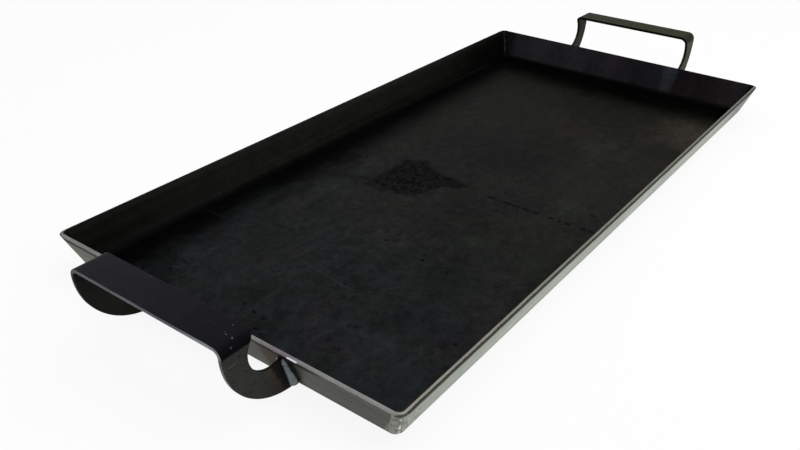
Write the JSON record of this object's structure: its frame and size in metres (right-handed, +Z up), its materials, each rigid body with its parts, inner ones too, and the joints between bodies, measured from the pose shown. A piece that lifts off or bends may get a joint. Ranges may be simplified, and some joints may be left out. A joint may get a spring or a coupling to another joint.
{
  "type": "camp griddle plate",
  "caption": "Shallow rectangular steel griddle plate folded from sheet, with flared walls, rounded welded corners and hooked plate handles welded to its ends.",
  "frame": {"origin": "middle of the pan's underside, on the surface that it rests on", "axes": "+X along the pan's length towards the rear handle, +Y across it to the left, +Z up out of the pan"},
  "size_m": [0.802, 0.356, 0.068],
  "materials": {
    "seasoned_steel": "satin",
    "handle_steel": "satin",
    "dressed_weld": "satin",
    "raw_weld": "satin"
  },
  "bodies": {
    "root": {"pan": "seasoned_steel", "front_handle": "handle_steel", "rear_handle": "handle_steel", "corner_weld_front_left": "dressed_weld", "corner_weld_front_right": "dressed_weld", "corner_weld_rear_left": "dressed_weld", "corner_weld_rear_right": "dressed_weld", "front_left_leg_weld_outer": "raw_weld", "front_left_leg_weld_inner": "raw_weld", "front_right_leg_weld_outer": "raw_weld", "front_right_leg_weld_inner": "raw_weld", "rear_left_leg_weld_outer": "raw_weld", "rear_left_leg_weld_inner": "raw_weld", "rear_right_leg_weld_outer": "raw_weld", "rear_right_leg_weld_inner": "raw_weld"}
  },
  "joints": []
}
